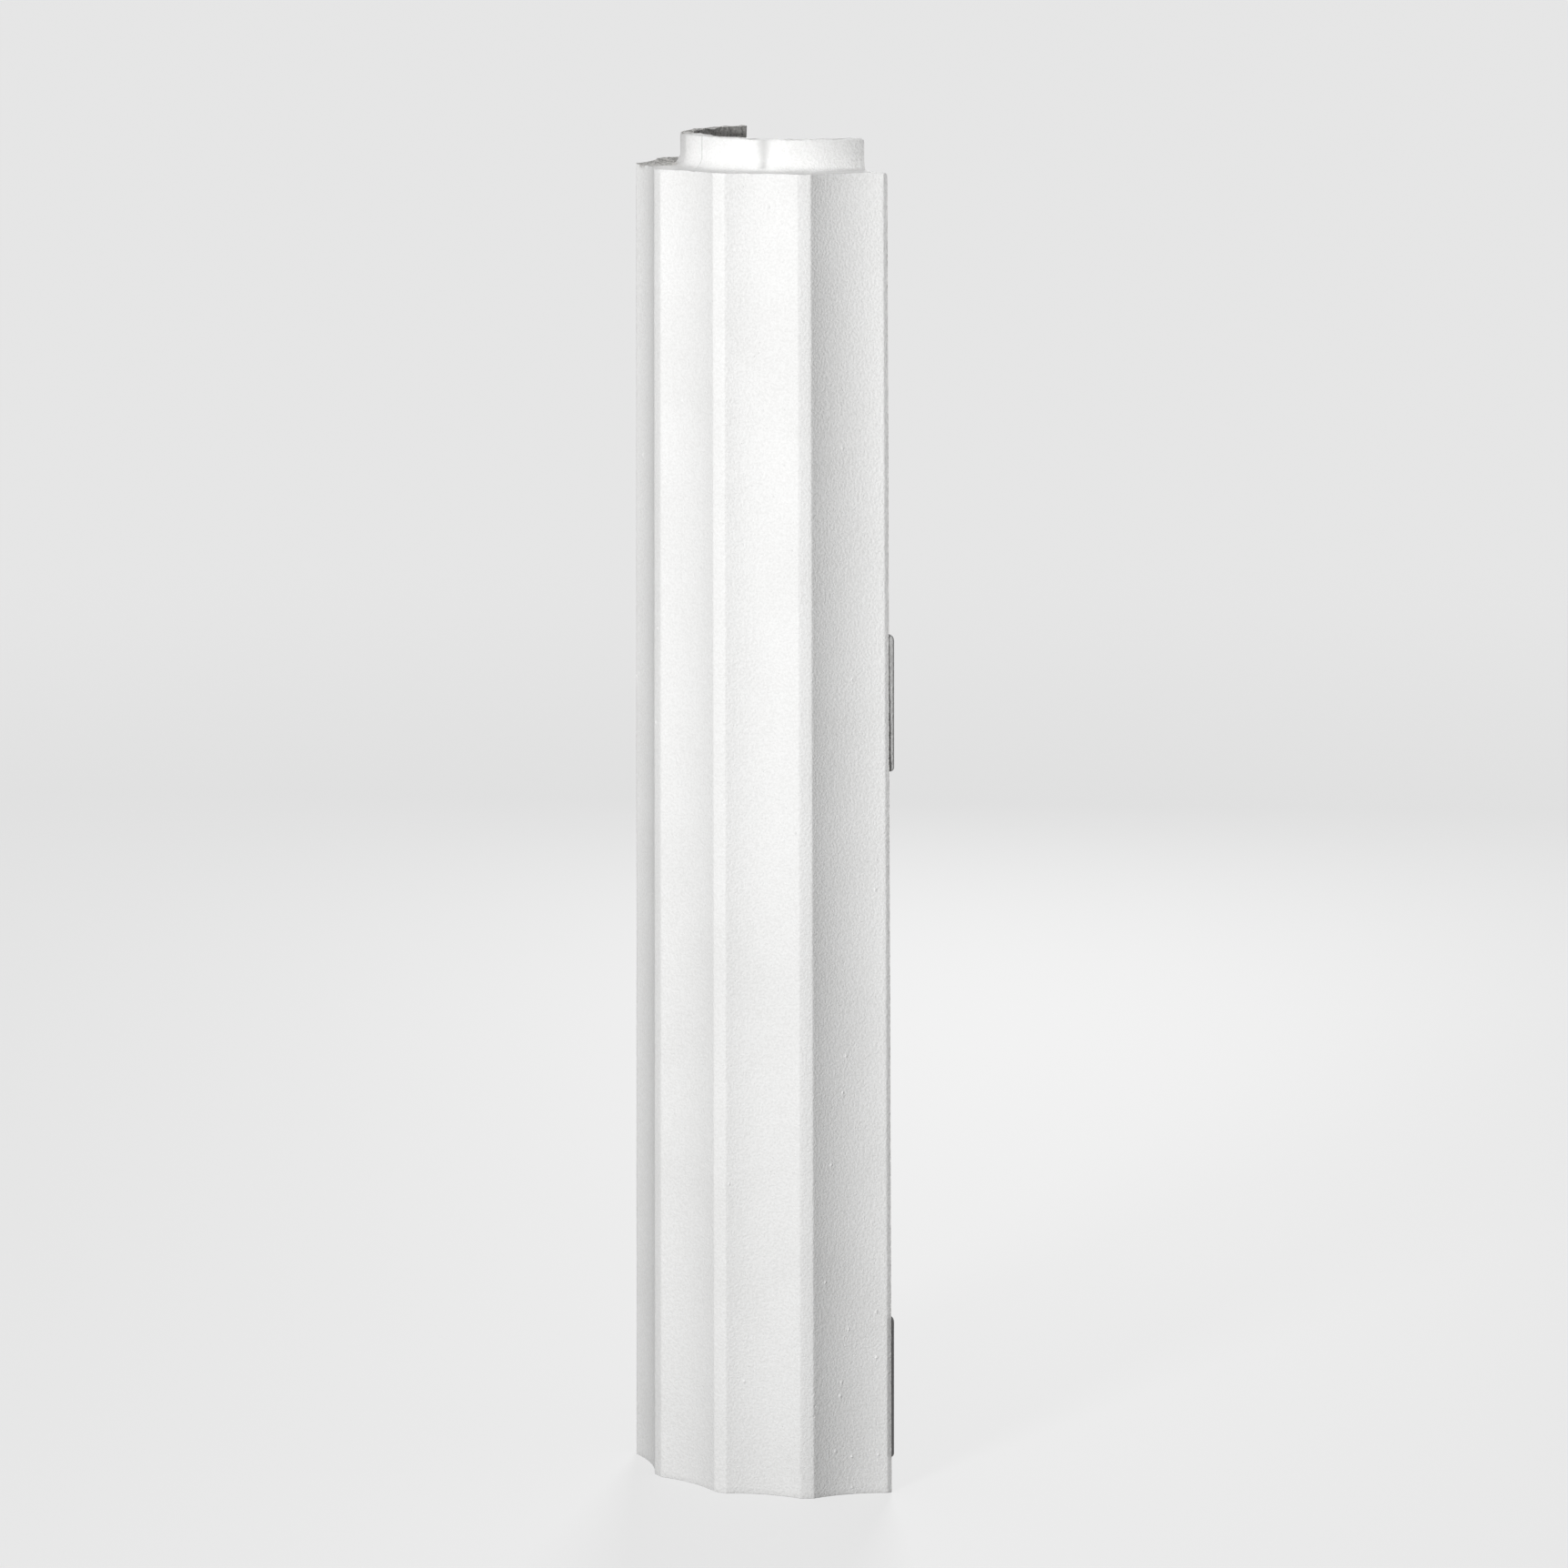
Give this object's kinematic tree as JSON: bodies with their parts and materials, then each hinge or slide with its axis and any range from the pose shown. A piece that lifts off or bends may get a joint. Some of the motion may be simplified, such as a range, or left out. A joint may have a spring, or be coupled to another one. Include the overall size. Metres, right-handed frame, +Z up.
{
  "type": "half column shaft",
  "caption": "Fluted, tapering half round column shaft, hollow and open behind, with a neck on its upper ledge and tongues and rebates that key two halves back to back.",
  "frame": {"origin": "centre of the bounding box on the underside, which stands on the ground; the column's axis is 63.8 mm behind it", "axes": "+Z up along the shaft, -Y out of the fluted front, +Y out of the open back, +X towards the leg with the tongues"},
  "size_m": [0.264, 0.1364, 1.024],
  "materials": {
    "primed_foam": "matte white primer over rigid foam, fine orange peel"
  },
  "bodies": {
    "root": {"half_column_shaft": "primed_foam"}
  },
  "joints": []
}
